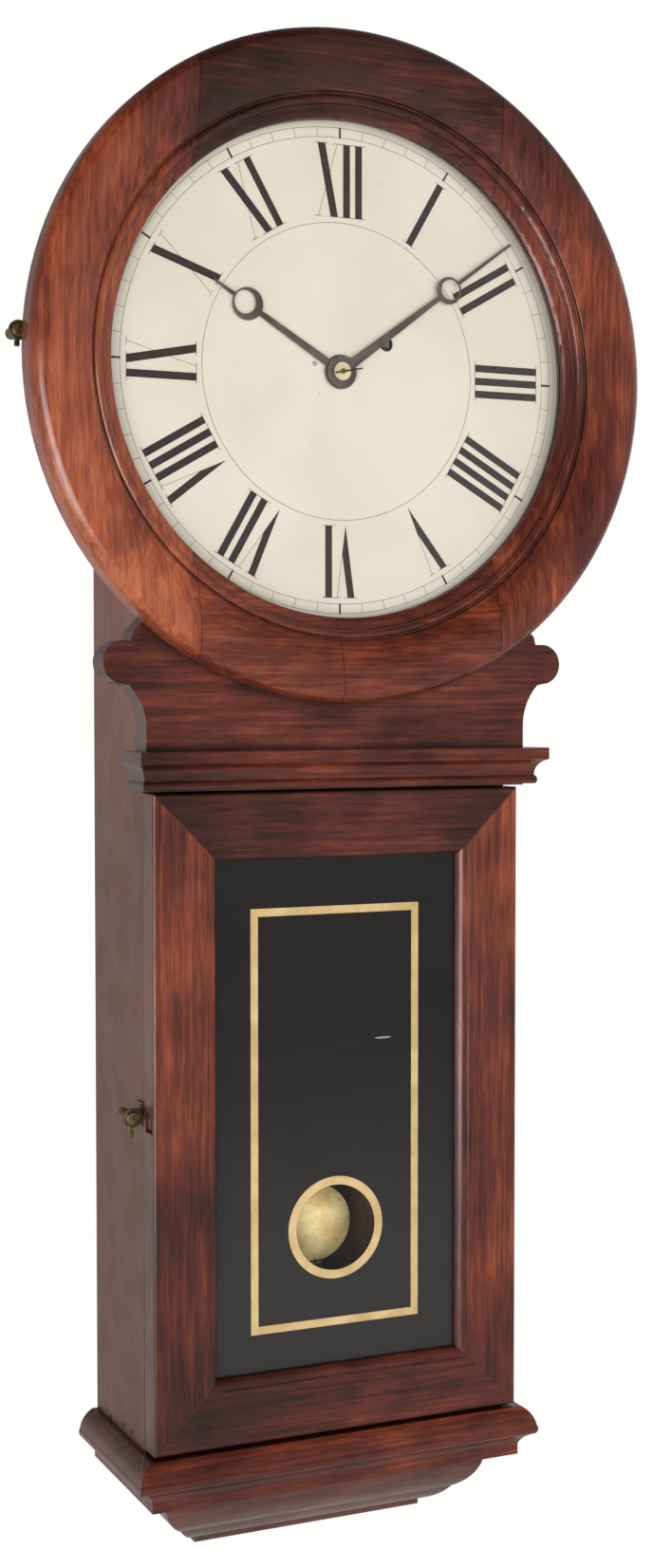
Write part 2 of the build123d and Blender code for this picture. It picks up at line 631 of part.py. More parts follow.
# ---- bezel ----
def make_bezel_ring():
    glass_front = BEZEL_GLASS_BACK - GLASS_THICK
    with BuildPart() as bezel_ring:
        with BuildSketch(Plane.XY):
            with BuildLine():
                Polyline((BEZEL_R, BEZEL_BACK), (BEZEL_R, -118.5))
                ThreePointArc((BEZEL_R, -118.5), (196.2, -124.8), (191.5, -128.0))
                ThreePointArc((191.5, -128.0), (176.3, -126.8), (161.4, -121.8))
                Polyline((161.4, -121.8), (161.0, -119.8), (159.8, -119.6))
                ThreePointArc((159.8, -119.6), (157.6, -121.6), (154.6, -118.6))
                Polyline((154.6, -118.6), (154.1, -117.0), (151.2, -116.4))
                ThreePointArc((151.2, -116.4), (149.2, -115.9), (SIGHT_R, -114.2))
                Polyline((SIGHT_R, -114.2), (SIGHT_R, glass_front), (REBATE_R, glass_front),
                         (REBATE_R, BEZEL_BACK), (BEZEL_R, BEZEL_BACK))
            make_face()
        revolve(axis=Axis.Y)
        half = BEZEL_HINGE_LONG / 2
        block(BEZEL_LEAF_X, BEZEL_R + 1, BEZEL_BACK, BEZEL_BACK - LEAF, -half, half,
              mode=Mode.SUBTRACT)
        post(BEZEL_HINGE, -half - 0.4, half + 0.4, HINGE_R + 0.4, mode=Mode.SUBTRACT)
        block(KEEPER_LEFT, KEEPER_RIGHT, BEZEL_BACK, BEZEL_BACK - KEEPER_THICK, KEEPER_FOOT,
              KEEPER_TOP, mode=Mode.SUBTRACT)
    save(bezel_ring.part, "bezel_ring")
    with BuildPart() as bezel_glass:
        rod((0, 0), BEZEL_GLASS_BACK, glass_front, REBATE_R - 0.3)
    save(bezel_glass.part, "bezel_glass")
    with BuildPart() as glass_bead:
        bead_back = BEZEL_GLASS_BACK + 2.2
        rod((0, 0), bead_back, BEZEL_GLASS_BACK, REBATE_R)
        rod((0, 0), bead_back, BEZEL_GLASS_BACK, SIGHT_R, mode=Mode.SUBTRACT)
    save(glass_bead.part, "glass_bead")


# ---- hinges ----
def hinge_leaf(axis, far_x, y_face, y_inner, middle, long, own, other):
    """Plate from far_x to the axis, with its own knuckles and room for the others."""
    low, gap = middle - long / 2, 0.15
    block(far_x, axis[0], y_face, y_inner, low, low + long)
    for start, end in other:
        post(axis, low + start * long - gap, low + end * long + gap, HINGE_R + 0.35,
             mode=Mode.SUBTRACT)
    for start, end in own:
        post(axis, low + start * long + gap, low + end * long - gap, HINGE_R)
    post(axis, low - 1, low + long + 1, PIN_R + RUN, mode=Mode.SUBTRACT)


def make_hinges():
    with BuildPart() as fixed_leaves:
        hinge_leaf(BEZEL_HINGE, BEZEL_LEAF_X, HEAD_FRONT, HEAD_FRONT + LEAF, 0, BEZEL_HINGE_LONG,
                   OUTER_KNUCKLES, MIDDLE_KNUCKLE)
        for z in DOOR_HINGE_Z:
            hinge_leaf(DOOR_HINGE, DOOR_LEAF_X, -CASE_DEPTH, -CASE_DEPTH + LEAF, z,
                       DOOR_HINGE_LONG, OUTER_KNUCKLES, MIDDLE_KNUCKLE)
    save(fixed_leaves.part, "hinge_leaves_fixed")
    with BuildPart() as bezel_leaf:
        hinge_leaf(BEZEL_HINGE, BEZEL_LEAF_X, BEZEL_BACK, BEZEL_BACK - LEAF, 0, BEZEL_HINGE_LONG,
                   MIDDLE_KNUCKLE, OUTER_KNUCKLES)
    save(bezel_leaf.part, "bezel_hinge_leaf")
    with BuildPart() as door_leaves:
        for z in DOOR_HINGE_Z:
            hinge_leaf(DOOR_HINGE, DOOR_LEAF_X, DOOR_BACK, DOOR_BACK - LEAF, z, DOOR_HINGE_LONG,
                       MIDDLE_KNUCKLE, OUTER_KNUCKLES)
    save(door_leaves.part, "door_hinge_leaves")
    with BuildPart() as hinge_pins:
        for axis, middle, half in (
            (BEZEL_HINGE, 0, BEZEL_HINGE_LONG / 2),
            (DOOR_HINGE, DOOR_HINGE_Z[0], DOOR_HINGE_LONG / 2),
            (DOOR_HINGE, DOOR_HINGE_Z[1], DOOR_HINGE_LONG / 2),
        ):
            post(axis, middle - half, middle + half + 0.3, PIN_R)
            post(axis, middle + half + 0.3, middle + half + 1.8, PIN_R + 0.7)
    save(hinge_pins.part, "hinge_pins")


# ---- catches ----
def catch_bracket(foot_x, z, y_front):
    """Foot on the case's side, web and bored boss for the catch's spindle."""
    axis_x = foot_x - CATCH_FOOT - CATCH_OFFSET
    back = y_front + CATCH_LONG
    block(foot_x - CATCH_FOOT, foot_x, back, y_front, z - 7, z + 7)
    block(axis_x, foot_x - CATCH_FOOT, back, y_front, z - 2, z + 2)
    rod((axis_x, z), back, y_front, 3.4)
    rod((axis_x, z), back, y_front, SPINDLE_R + RUN, mode=Mode.SUBTRACT)


def make_catch_knob(axis_x, z, y_front, spacer, reach, wide, name):
    """Stepped knob, finger and spindle; the finger hangs down when the catch is off."""
    finger_back = y_front - spacer
    finger_front = finger_back - 2.5
    disc_back = finger_front - 0.8
    tail = y_front + CATCH_LONG
    with BuildPart() as knob:
        rod((axis_x, z), tail + 1.4, finger_back, SPINDLE_R)
        rod((axis_x, z), tail + 1.4, tail + 0.4, SPINDLE_R + 1.2)
        rod((axis_x, z), y_front - 0.3, disc_back, 2.3)
        rod((axis_x, z), disc_back, disc_back - 2.3, 5.6)
        rod((axis_x, z), disc_back - 2.3, disc_back - 4.1, 4.0)
        block(axis_x - wide / 2, axis_x + wide / 2, finger_back, finger_front, z - reach, z)
        fillet(knob.edges().filter_by(GeomType.CIRCLE).group_by(Axis.Y)[0], 0.7)
        rod((axis_x, z), disc_back - 3.4, disc_back - 4.1, 0.8, mode=Mode.SUBTRACT)
    save(knob.part, name)


def make_catches():
    with BuildPart() as brackets:
        catch_bracket(BEZEL_CATCH_FLAT, BEZEL_CATCH_Z, BEZEL_CATCH_FRONT)
        catch_bracket(-CASE_HALF, DOOR_CATCH_Z, DOOR_CATCH_FRONT)
    save(brackets.part, "catch_brackets")
    make_catch_knob(BEZEL_CATCH_X, BEZEL_CATCH_Z, BEZEL_CATCH_FRONT, 2.6, 8.6, 2.6,
                    "bezel_catch_knob")
    make_catch_knob(DOOR_CATCH_X, DOOR_CATCH_Z, DOOR_CATCH_FRONT, 4.5, 12.3, 3.0,
                    "door_catch_knob")
    with BuildPart() as keeper:
        block(KEEPER_LEFT, KEEPER_RIGHT, BEZEL_BACK, BEZEL_BACK - KEEPER_THICK, KEEPER_FOOT,
              KEEPER_TOP)
        block(KEEPER_RIGHT - KEEPER_THICK, KEEPER_RIGHT, -98.0, BEZEL_BACK, KEEPER_FOOT,
              KEEPER_TOP)
        block(KEEPER_RIGHT - 2, KEEPER_RIGHT + 1, -99.2, -102.5, 5.9, 13.4, mode=Mode.SUBTRACT)
    save(keeper.part, "bezel_keeper")


# ---- movement ----
def plate(y_back, y_front):
    """Movement plate with rounded corners and its pillar holes."""
    with BuildSketch(facing(y_back)) as outline:
        with Locations(((PLATE_LEFT + PLATE_RIGHT) / 2, (PLATE_FOOT + PLATE_TOP) / 2)):
            RectangleRounded(PLATE_RIGHT - PLATE_LEFT, PLATE_TOP - PLATE_FOOT, 5)
        with Locations(*PILLARS):
            Circle(PILLAR_END_R, mode=Mode.SUBTRACT)
    extrude(outline.sketch, amount=y_back - y_front)
    for place in (THIRD_XZ, ESCAPE_XZ):
        rod(place, y_back, y_front, PIVOT_R + RUN, mode=Mode.SUBTRACT)
    rod(BARREL_XZ, y_back, y_front, WINDING_R + RUN, mode=Mode.SUBTRACT)


def make_plates():
    back_face, front_face = BACK_PLATE + PLATE_THICK, FRONT_PLATE - PLATE_THICK
    with BuildPart() as front_plate:
        plate(FRONT_PLATE, front_face)
        rod((0, 0), FRONT_PLATE, front_face, CENTRE_R + RUN, mode=Mode.SUBTRACT)
        rod(VERGE_XZ, FRONT_PLATE, front_face, PIVOT_R + RUN, mode=Mode.SUBTRACT)
        rod(MINUTE_XZ, front_face, -102.2, MINUTE_STUD_R)
        rod(CLICK_XZ, front_face, -99.6, CLICK_STUD_R)
    save(front_plate.part, "front_plate")
    with BuildPart() as back_plate:
        plate(back_face, BACK_PLATE)
        rod((0, 0), back_face, BACK_PLATE, PIVOT_R + RUN, mode=Mode.SUBTRACT)
        rod(VERGE_XZ, back_face, BACK_PLATE, ARBOR_R + RUN, mode=Mode.SUBTRACT)
        for place in SEAT_SCREWS:
            rod(place, back_face, BACK_PLATE, WOOD_R, mode=Mode.SUBTRACT)
    save(back_plate.part, "back_plate")
    with BuildPart() as pillars:
        for place in PILLARS:
            rod(place, BACK_PLATE, FRONT_PLATE, PILLAR_R)
            rod(place, back_face, BACK_PLATE, PILLAR_END_R)
            rod(place, FRONT_PLATE, front_face - 1.0, PILLAR_END_R)
    save(pillars.part, "plate_pillars")


def arbor(place):
    """Arbor between the plates with a pivot at each end."""
    rod(place, BACK_PLATE - 0.5, FRONT_PLATE + 0.5, ARBOR_R)
    rod(place, BACK_PLATE + PIVOT_LONG, BACK_PLATE - 0.5, PIVOT_R)
    rod(place, FRONT_PLATE + 0.5, FRONT_PLATE - PIVOT_LONG, PIVOT_R)


def make_barrel():
    place = BARREL_XZ
    drum_back, drum_front = -79.5, -88.0
    with BuildPart() as barrel:
        toward_centre = line_angle(place, (0, 0))
        toothed_disc(tooth_outline(BARREL_TEETH, BARREL_MODULE, toward_centre), place,
                     drum_front, 2.5)
        rod(place, drum_back, drum_front, 27.5)
        rod(place, drum_back, drum_front, 26.3, mode=Mode.SUBTRACT)
        rod(place, drum_back, -92.0, WINDING_R + RUN, mode=Mode.SUBTRACT)
    save(barrel.part, "barrel")
    make_mainspring(place)
    with BuildPart() as winding_arbor:
        rod(place, BACK_PLATE + PLATE_THICK, RATCHET_BACK + 0.2, WINDING_R)
        rod(place, BACK_PLATE - 0.6, drum_back + 0.3, WINDING_R + 1.1)
        with BuildSketch(facing(RATCHET_BACK + 0.2)):
            with Locations(place):
                Rectangle(WINDING_SQUARE, WINDING_SQUARE)
        extrude(amount=6.4)
    save(winding_arbor.part, "winding_arbor")


def make_mainspring(place):
    """Coiled strip: half circles whose radius grows by a quarter pitch each."""
    thick, pitch, turns, first = 0.9, 2.1, 9, 4.6
    with BuildPart() as mainspring:
        with BuildSketch(facing(-80.6)):
            with BuildLine():
                inner = spiral_side(place, first, pitch, turns)
                outer = spiral_side(place, first + thick, pitch, turns)
                Line(inner[0], outer[0])
                Line(inner[1], outer[1])
            make_face()
        extrude(amount=6.8)
    save(mainspring.part, "mainspring")


def spiral_side(place, first, pitch, turns):
    """One edge of the coil; returns its two ends."""
    start = (place[0] + first, place[1])
    current = start
    for half_turn in range(2 * turns):
        radius = first + pitch / 4 + half_turn * pitch / 2
        sign = 1 if half_turn % 2 == 0 else -1
        centre_x = current[0] - sign * radius
        end = (centre_x - sign * radius, place[1])
        ThreePointArc(current, (centre_x, place[1] + sign * radius), end)
        current = end
    return start, current


def make_winding_work():
    place = BARREL_XZ
    with BuildPart() as ratchet_wheel:
        corners = saw_outline(RATCHET_TEETH, RATCHET_R, RATCHET_ROOT, 62.0, 0.9)
        toothed_disc(corners, place, RATCHET_BACK, RATCHET_THICK)
        with BuildSketch(facing(RATCHET_BACK)):
            with Locations(place):
                Rectangle(WINDING_SQUARE, WINDING_SQUARE)
        extrude(amount=RATCHET_THICK, mode=Mode.SUBTRACT)
    save(ratchet_wheel.part, "ratchet_wheel")
    with BuildPart() as click:
        x, z = CLICK_XZ
        with BuildSketch(facing(RATCHET_BACK)):
            with Locations(CLICK_XZ):
                Circle(2.6)
            with BuildLine():
                Polyline((x - 0.3, z + 2.2), (x - 9.0, z + 0.9), (x - 12.3, z - 2.2),
                         (x - 11.9, z - 2.6), (x - 8.6, z - 1.6), (x - 0.3, z - 2.2), close=True)
            make_face()
            with BuildLine():
                Polyline((x, z + 1.8), (x + 6.5, z + 1.2), (x + 6.5, z - 0.8), (x, z - 1.8),
                         close=True)
            make_face()
            with Locations(CLICK_XZ):
                Circle(CLICK_STUD_R + RUN, mode=Mode.SUBTRACT)
        extrude(amount=RATCHET_THICK)
    save(click.part, "click")
    with BuildPart() as click_spring:
        x, z = CLICK_XZ
        with BuildSketch(facing(FRONT_PLATE - PLATE_THICK)):
            with BuildLine():
                Polyline((x + 18, z - 12), (x + 14, z - 3.4), (x + 5.2, z - 1.9),
                         (x + 5.0, z - 2.5), (x + 13.4, z - 4.0), (x + 17.2, z - 12.2),
                         close=True)
            make_face()
            with Locations((x + 17, z - 13)):
                Circle(2.2)
        extrude(amount=1.2)
    save(click_spring.part, "click_spring")


def taper_bar(mode=Mode.ADD):
    """Thin pin through the front end of the centre arbor."""
    with BuildSketch(Plane(origin=(-5, -109, -1.2), x_dir=(0, 1, 0), z_dir=(17.6, 0, 3.6))) as end:
        Circle(0.45)
    extrude(end.sketch, amount=18, mode=mode)


def make_going_train():
    with BuildPart() as centre_wheel:
        rod((0, 0), BACK_PLATE - 0.5, -109.8, CENTRE_R)
        rod((0, 0), BACK_PLATE + PIVOT_LONG, BACK_PLATE - 0.5, PIVOT_R)
        outline = tooth_outline(CENTRE_TEETH, TRAIN_MODULE, line_angle((0, 0), THIRD_XZ))
        toothed_disc(outline, (0, 0), -92.0, 1.5, rim_r=16.6, hub_r=5.0, arm=2.4)
        gap = line_angle((0, 0), BARREL_XZ) + 180 / CENTRE_LEAVES
        leaves = tooth_outline(CENTRE_LEAVES, BARREL_MODULE, gap, 0.8, 1.2, 0.34)
        toothed_disc(leaves, (0, 0), -86.0, 5.0)
        taper_bar(mode=Mode.SUBTRACT)
    save(centre_wheel.part, "centre_wheel")
    with BuildPart() as third_wheel:
        arbor(THIRD_XZ)
        outline = tooth_outline(THIRD_TEETH, TRAIN_MODULE, line_angle(THIRD_XZ, ESCAPE_XZ))
        toothed_disc(outline, THIRD_XZ, -81.5, 1.5, rim_r=13.2, hub_r=4.0, arm=2.2)
        gap = line_angle(THIRD_XZ, (0, 0)) + 180 / THIRD_LEAVES
        leaves = tooth_outline(THIRD_LEAVES, TRAIN_MODULE, gap, 0.7, 1.2, 0.32)
        toothed_disc(leaves, THIRD_XZ, -91.0, 3.4)
    save(third_wheel.part, "third_wheel")
    with BuildPart() as escape_wheel:
        arbor(ESCAPE_XZ)
        outline = saw_outline(ESCAPE_TEETH, ESCAPE_R, ESCAPE_R - 2.2, 0.0, 0.55)
        toothed_disc(outline, ESCAPE_XZ, -77.0, 1.1, rim_r=11.2, hub_r=3.6, arm=1.8)
        gap = line_angle(ESCAPE_XZ, THIRD_XZ) + 180 / ESCAPE_LEAVES
        leaves = tooth_outline(ESCAPE_LEAVES, TRAIN_MODULE, gap, 0.7, 1.2, 0.32)
        toothed_disc(leaves, ESCAPE_XZ, -80.5, 3.5)
    save(escape_wheel.part, "escape_wheel")


def make_verge():
    """Pallet arms on their arbor, with the crutch that holds the pendulum rod."""
    toward = line_angle(ESCAPE_XZ, VERGE_XZ)
    inner = ESCAPE_R + 1.6
    outer = inner + 2.0
    with BuildPart() as verge:
        rod(VERGE_XZ, -69.6, FRONT_PLATE + 0.5, ARBOR_R)
        rod(VERGE_XZ, FRONT_PLATE + 0.5, FRONT_PLATE - PIVOT_LONG, PIVOT_R)
        with BuildSketch(facing(-76.6)):
            with BuildLine():
                for radius in (inner, outer):
                    ThreePointArc(*(arc_point(radius, toward + turn) for turn in (-52, 0, 52)))
                for turn in (-52, 52):
                    Line(arc_point(inner, toward + turn), arc_point(outer, toward + turn))
            make_face()
            with Locations(VERGE_XZ):
                Circle(3.4)
        extrude(amount=1.9)
        rod(VERGE_XZ, -69.8, -72.4, 2.4)
        post((0, -71.1), -5.6, VERGE_XZ[1] - 1.9, 0.8)
        block(-4, 4, -61.5, -71.9, -6.6, -5.0)
        post((0, PENDULUM_Y), -7, -4, 2.1, mode=Mode.SUBTRACT)
    save(verge.part, "verge")


def arc_point(radius, angle):
    """Point round the escape wheel's axis."""
    turn = math.radians(angle)
    return (ESCAPE_XZ[0] + radius * math.cos(turn), ESCAPE_XZ[1] + radius * math.sin(turn))


def make_motion_work():
    down = line_angle((0, 0), MINUTE_XZ)
    with BuildPart() as cannon_pinion:
        leaves = tooth_outline(CANNON_LEAVES, CANNON_MODULE, down, 0.8, 1.2, 0.34)
        toothed_disc(leaves, (0, 0), -98.0, 1.6)
        rod((0, 0), -97.4, CANNON_FRONT, CANNON_R)
        rod((0, 0), -97.4, CANNON_FRONT, CENTRE_R, mode=Mode.SUBTRACT)
    save(cannon_pinion.part, "cannon_pinion")
    with BuildPart() as minute_wheel:
        gap = down + 180 + 180 / MINUTE_TEETH
        outline = tooth_outline(MINUTE_TEETH, CANNON_MODULE, gap)
        toothed_disc(outline, MINUTE_XZ, -98.1, 1.4, rim_r=7.0, hub_r=3.0, arm=1.6)
        leaves = tooth_outline(MINUTE_LEAVES, HOUR_MODULE, down + 180, 0.75, 1.15, 0.32)
        toothed_disc(leaves, MINUTE_XZ, -99.5, 2.4)
        rod(MINUTE_XZ, -97.0, -102.2, MINUTE_STUD_R + RUN, mode=Mode.SUBTRACT)
    save(minute_wheel.part, "minute_wheel")
    with BuildPart() as hour_wheel:
        gap = down + 180 / HOUR_TEETH
        outline = tooth_outline(HOUR_TEETH, HOUR_MODULE, gap)
        toothed_disc(outline, (0, 0), HOUR_WHEEL_BACK, 1.3)
        rod((0, 0), HOUR_WHEEL_BACK, -106.0, HOUR_PIPE_R)
        rod((0, 0), HOUR_WHEEL_BACK, -106.0, CANNON_R + 0.08, mode=Mode.SUBTRACT)
    save(hour_wheel.part, "hour_wheel")


# ---- hands ----
def hand_plane(y, angle):
    """Plane at depth y whose local y points along a hand turned clockwise by angle."""
    turn = math.radians(angle)
    return Plane(origin=(0, y, 0), x_dir=(math.cos(turn), 0, -math.sin(turn)), z_dir=(0, -1, 0))


def moon_hand(y, angle, thick, boss_r, bore_r, root, neck, moon_at, moon_r, hole_r, shift, tip):
    """Shank, moon ring with its hole set outward, and a tapered tip."""
    tip_root, tip_end, tip_at = tip
    with BuildSketch(hand_plane(y, angle)) as outline:
        Circle(boss_r)
        with BuildLine():
            Polyline((-root / 2, 0), (-neck / 2, moon_at - moon_r + 0.6),
                     (neck / 2, moon_at - moon_r + 0.6), (root / 2, 0), close=True)
        make_face()
        with Locations((0, moon_at)):
            Circle(moon_r)
        with BuildLine():
            Polyline((-tip_root / 2, moon_at + moon_r - 0.8), (-tip_end / 2, tip_at),
                     (tip_end / 2, tip_at), (tip_root / 2, moon_at + moon_r - 0.8), close=True)
        make_face()
        with Locations((0, moon_at + shift)):
            Circle(hole_r, mode=Mode.SUBTRACT)
        Circle(bore_r, mode=Mode.SUBTRACT)
    extrude(outline.sketch, amount=thick)


def make_hands():
    with BuildPart() as hour_hand:
        moon_hand(-105.0, HOUR_HAND_ANGLE, 0.8, 10.2, HOUR_PIPE_R, 5.0, 3.2, 70.0, 9.6, 7.0, 1.9,
                  (2.4, 1.2, 94.3))
    save(hour_hand.part, "hour_hand")
    with BuildPart() as minute_hand:
        moon_hand(-106.5, MINUTE_HAND_ANGLE, 1.0, 9.5, CANNON_R, 6.2, 2.8, 89.7, 8.2, 6.3, 1.1,
                  (2.3, 1.4, 142.3))
    save(minute_hand.part, "minute_hand")
    with BuildPart() as hand_collet:
        rod((0, 0), CANNON_FRONT, CANNON_FRONT - 0.8, 5.4)
        rod((0, 0), CANNON_FRONT, CANNON_FRONT - 0.8, CENTRE_R, mode=Mode.SUBTRACT)
    save(hand_collet.part, "hand_collet")
    with BuildPart() as taper_pin:
        taper_bar()
    save(taper_pin.part, "taper_pin")


# ---- pendulum ----
def make_suspension():
    with BuildPart() as cock:
        block(-6, 6, BACK_PLATE + PLATE_THICK, -61, 47, PLATE_TOP)
        block(-0.95, 0.95, -69.2, -60, 46, 53.2, mode=Mode.SUBTRACT)
    save(cock.part, "suspension_cock")
    with BuildPart() as suspension_spring:
        block(-SPRING_HALF, SPRING_HALF, -63.6, -68.4, SPRING_FOOT, 52)
    save(suspension_spring.part, "suspension_spring")


def make_pendulum():
    with BuildPart() as pendulum_rod:
        post((0, PENDULUM_Y), ROD_FOOT, 32, ROD_R)
        block(-SPRING_HALF, SPRING_HALF, -63, -69, SPRING_FOOT, 33, mode=Mode.SUBTRACT)
    save(pendulum_rod.part, "pendulum_rod")
    with BuildPart() as bob:
        edge_half, belly, belly_half = 0.8, 14.0, 4.4
        with BuildSketch(Plane.XY.offset(BOB_Z)):
            with BuildLine():
                Line((0, PENDULUM_Y + BOB_HALF), (0, PENDULUM_Y - BOB_HALF))
                ThreePointArc((0, PENDULUM_Y - BOB_HALF), (belly, PENDULUM_Y - belly_half),
                              (BOB_R, PENDULUM_Y - edge_half))
                Line((BOB_R, PENDULUM_Y - edge_half), (BOB_R, PENDULUM_Y + edge_half))
                ThreePointArc((BOB_R, PENDULUM_Y + edge_half), (belly, PENDULUM_Y + belly_half),
                              (0, PENDULUM_Y + BOB_HALF))
            make_face()
        revolve(axis=Axis((0, 0, BOB_Z), (0, 1, 0)))
        post((0, PENDULUM_Y), BOB_Z - 30, BOB_Z + 30, ROD_R, mode=Mode.SUBTRACT)
    save(bob.part, "bob")
    with BuildPart() as rating_nut:
        post((0, PENDULUM_Y), NUT_FOOT, NUT_FOOT + 5.2, 5.0)
        post((0, PENDULUM_Y), NUT_FOOT, NUT_FOOT + 5.2, ROD_R, mode=Mode.SUBTRACT)
    save(rating_nut.part, "rating_nut")


os.makedirs("parts", exist_ok=True)
make_backboard()
make_sides()
make_end_boards()
make_head_ring()
make_scroll_bracket()
make_cornice()
make_base_moulding()
make_drop()
make_movement_seat()
make_hanger()
make_dial()
make_wood_screws()
make_door_stiles()
make_door_rails()
make_tablet()
make_bezel_ring()
make_hinges()
make_catches()
make_plates()
make_barrel()
make_winding_work()
make_going_train()
make_verge()
make_motion_work()
make_hands()
make_suspension()
make_pendulum()
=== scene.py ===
"""Looks of the pendulum wall clock: materials, printed dial, light and camera."""
import math

import bpy
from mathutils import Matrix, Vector


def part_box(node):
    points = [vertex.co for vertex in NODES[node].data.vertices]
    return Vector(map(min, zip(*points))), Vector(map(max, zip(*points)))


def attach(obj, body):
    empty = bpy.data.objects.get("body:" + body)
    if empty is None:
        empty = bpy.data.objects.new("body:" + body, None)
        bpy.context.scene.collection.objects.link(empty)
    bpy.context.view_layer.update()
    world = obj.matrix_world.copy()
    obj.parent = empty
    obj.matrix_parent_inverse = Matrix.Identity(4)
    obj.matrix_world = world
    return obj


MM = 0.001

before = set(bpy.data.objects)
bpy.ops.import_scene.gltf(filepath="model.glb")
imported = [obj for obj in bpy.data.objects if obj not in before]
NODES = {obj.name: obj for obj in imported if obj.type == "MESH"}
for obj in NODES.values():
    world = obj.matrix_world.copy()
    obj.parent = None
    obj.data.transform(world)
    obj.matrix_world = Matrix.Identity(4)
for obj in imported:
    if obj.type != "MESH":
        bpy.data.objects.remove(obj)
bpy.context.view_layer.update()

# ---- node graphs ----
# Sockets of a Mix node: its two numbers, its two colours, and the results of each.
NUMBER_A, NUMBER_B, NUMBER_OUT = 2, 3, 0
COLOUR_A, COLOUR_B, COLOUR_OUT = 6, 7, 2


class Graph:
    """A node tree with short ways to add nodes and feed their inputs."""

    def __init__(self, tree):
        self.tree = tree
        self.tree.nodes.clear()

    def node(self, kind, inputs=None, **settings):
        made = self.tree.nodes.new("ShaderNode" + kind)
        for key, value in settings.items():
            setattr(made, key, value)
        for key, value in (inputs or {}).items():
            self.feed(made.inputs[key], value)
        return made

    def feed(self, socket, value):
        if isinstance(value, bpy.types.NodeSocket):
            self.tree.links.new(value, socket)
        else:
            socket.default_value = value

    def math(self, operation, first, second=0.0):
        return self.node("Math", {0: first, 1: second}, operation=operation).outputs[0]

    def total(self, first, *others):
        """Sum of all the values."""
        for other in others:
            first = self.math("ADD", first, other)
        return first

    def rise(self, value, low, high, to_low=0.0, to_high=1.0):
        """Smooth step of value from low to high."""
        made = self.node(
            "MapRange",
            {"Value": value, "From Min": low, "From Max": high,
             "To Min": to_low, "To Max": to_high},
            interpolation_type="SMOOTHSTEP",
        )
        return made.outputs["Result"]

    def mix(self, factor, first, second):
        """Colour between first and second."""
        made = self.node("Mix", {"Factor": factor, COLOUR_A: first, COLOUR_B: second},
                         data_type="RGBA")
        return made.outputs[COLOUR_OUT]

    def between(self, factor, first, second):
        """Number between first and second."""
        made = self.node("Mix", {"Factor": factor, NUMBER_A: first, NUMBER_B: second})
        return made.outputs[NUMBER_OUT]

    def noise(self, vector, scale, detail=4.0, roughness=0.55, distortion=0.0):
        made = self.node(
            "TexNoise",
            {"Vector": vector, "Scale": scale, "Detail": detail, "Roughness": roughness,
             "Distortion": distortion},
        )
        return made.outputs["Fac"]

    def ramp(self, value, stops):
        """Colour ramp through (position, colour) stops."""
        made = self.node("ValToRGB", {"Fac": value})
        elements = made.color_ramp.elements
        while len(elements) < len(stops):
            elements.new(0.5)
        for element, (place, colour) in zip(elements, stops):
            element.position = place
            element.color = (*colour, 1.0)
        return made.outputs["Color"]

    def stretched(self, vector, scale):
        return self.node("Mapping", {"Vector": vector, "Scale": scale}).outputs["Vector"]

    def parts(self, vector):
        split = self.node("SeparateXYZ", {"Vector": vector})
        return split.outputs["X"], split.outputs["Y"], split.outputs["Z"]


def new_graph(name):
    material = bpy.data.materials.new(name)
    material.use_nodes = True
    return material, Graph(material.node_tree)


def finish_graph(graph, shader):
    out = graph.node("OutputMaterial")
    graph.tree.links.new(shader, out.inputs["Surface"])


def face_normal(graph):
    """Normal of the flat face itself, for thin sheets."""
    return graph.node("NewGeometry").outputs["True Normal"]


def object_coords(graph):
    return graph.node("TexCoord").outputs["Object"]


# ---- wood ----
MAHOGANY = [
    (0.22, (0.0080, 0.0028, 0.0022)),
    (0.38, (0.0330, 0.0072, 0.0042)),
    (0.52, (0.0900, 0.0165, 0.0078)),
    (0.66, (0.2050, 0.0410, 0.0150)),
    (0.82, (0.3700, 0.0980, 0.0330)),
]
CASE_SIDE = [
    (0.00, (0.0050, 0.0025, 0.0020)),
    (0.20, (0.0280, 0.0115, 0.0092)),
    (0.40, (0.0680, 0.0260, 0.0190)),
    (0.58, (0.1230, 0.0470, 0.0320)),
    (0.80, (0.2000, 0.0820, 0.0550)),
]
PLAIN_PINE = [
    (0.26, (0.150, 0.0720, 0.0340)),
    (0.50, (0.290, 0.1560, 0.0760)),
    (0.76, (0.430, 0.2650, 0.1400)),
]


def along_grain(graph, coords, axis, squeeze):
    """Coordinates squeezed along the grain, so that noise draws out into streaks."""
    scale = tuple(squeeze if name == axis else 1.0 for name in "XYZ")
    return graph.stretched(coords, scale)


def wood_tone(graph, coords, axis, lift=0.0, contrast=1.0):
    """Ramp position of the wood's colour, and its pores."""
    streaks = graph.noise(along_grain(graph, coords, axis, 0.045), 380.0, 7.0, 0.72, 0.3)
    figure = graph.noise(along_grain(graph, coords, axis, 0.20), 24.0, 4.0, 0.55, 0.9)
    mottle = graph.noise(along_grain(graph, coords, axis, 0.55), 75.0, 4.0, 0.62, 0.3)
    stain = graph.noise(coords, 7.5, 3.0, 0.55, 0.5)
    tone = lift + 0.5
    for field, weight in ((streaks, 0.62), (figure, 0.34), (mottle, 0.20), (stain, 0.52)):
        swing = graph.math("MULTIPLY", graph.math("SUBTRACT", field, 0.5), weight * contrast)
        tone = graph.math("ADD", swing, tone)
    pores = graph.noise(along_grain(graph, coords, axis, 0.07), 1500.0, 2.0, 0.5)
    return tone, pores


